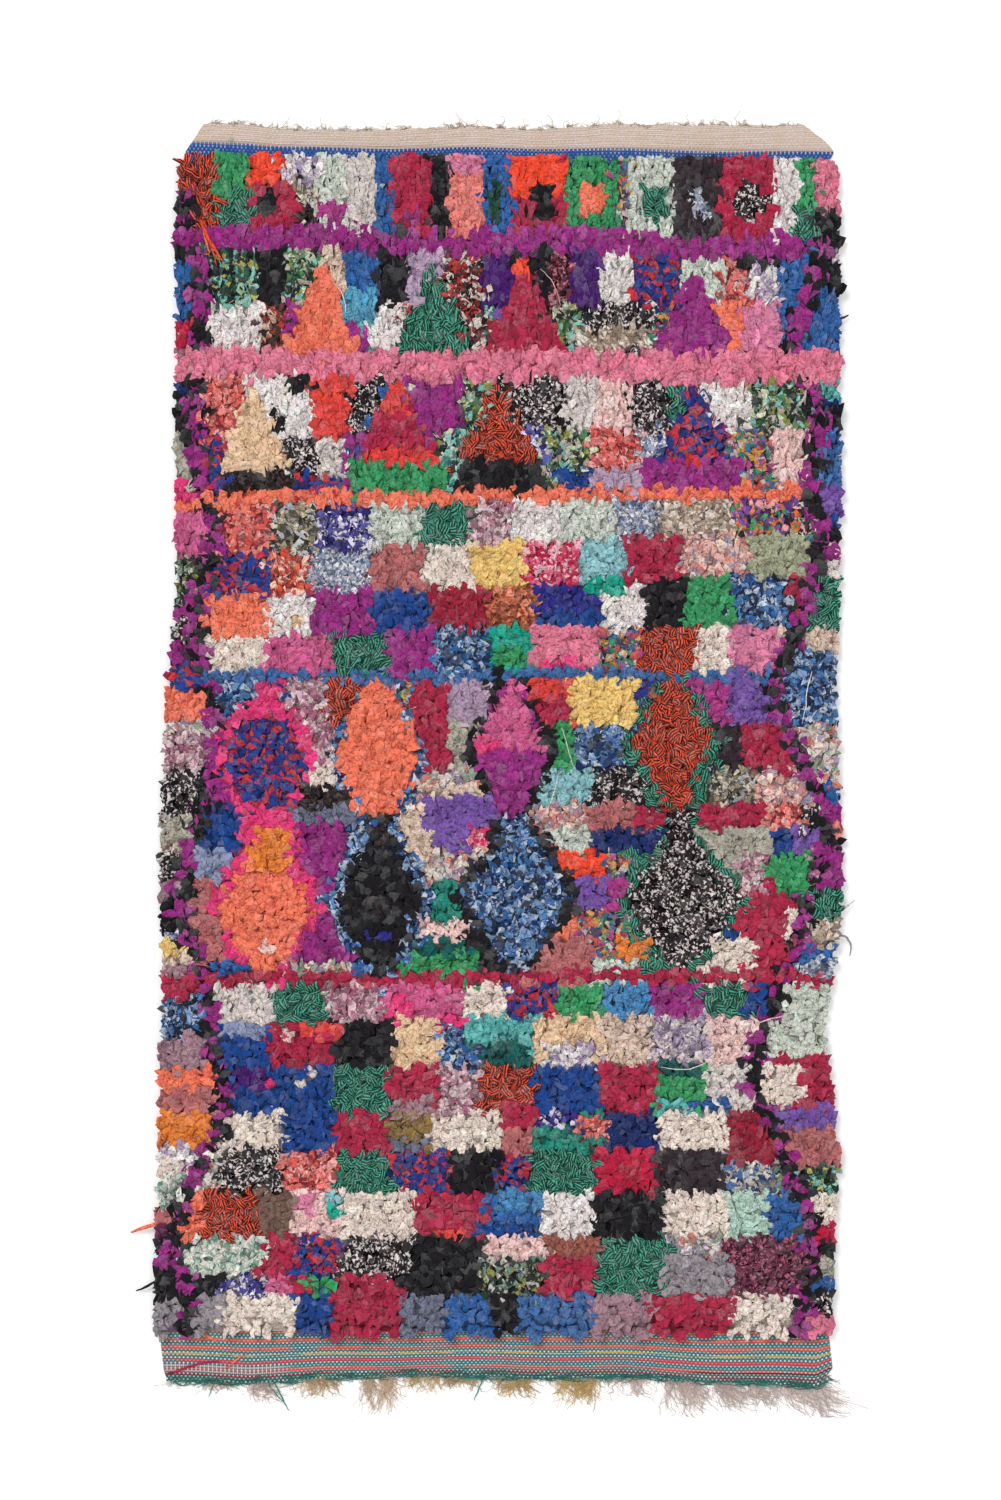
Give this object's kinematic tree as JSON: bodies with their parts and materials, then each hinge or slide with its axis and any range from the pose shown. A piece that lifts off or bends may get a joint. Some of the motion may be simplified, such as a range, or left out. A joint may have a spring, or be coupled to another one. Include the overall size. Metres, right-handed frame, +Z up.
{
  "type": "boucherouite rug",
  "caption": "Shaggy rag rug lying flat: knotted cloth-scrap pile on a cotton ground, with a flat-woven band and a frayed warp fringe at each end.",
  "frame": {"origin": "middle of the rug's whole outline, fringe and stray rags included, on the floor", "axes": "+Z up out of the pile, +Y along the length towards the plain cream end, +X to the right seen from above"},
  "size_m": [1.4337, 2.5637, 0.034],
  "materials": {
    "ground_cotton": "matt plain-woven cotton, cream at the head and striped teal and coral at the foot",
    "mixed_rags": "matt torn cotton and jersey rags in many colours",
    "warp_yarn": "matt frayed cotton and wool yarn"
  },
  "bodies": {
    "root": {"ground_weave": "ground_cotton", "rag_pile": "mixed_rags", "warp_fringe_foot": "warp_yarn", "warp_fringe_head": "warp_yarn"}
  },
  "joints": []
}
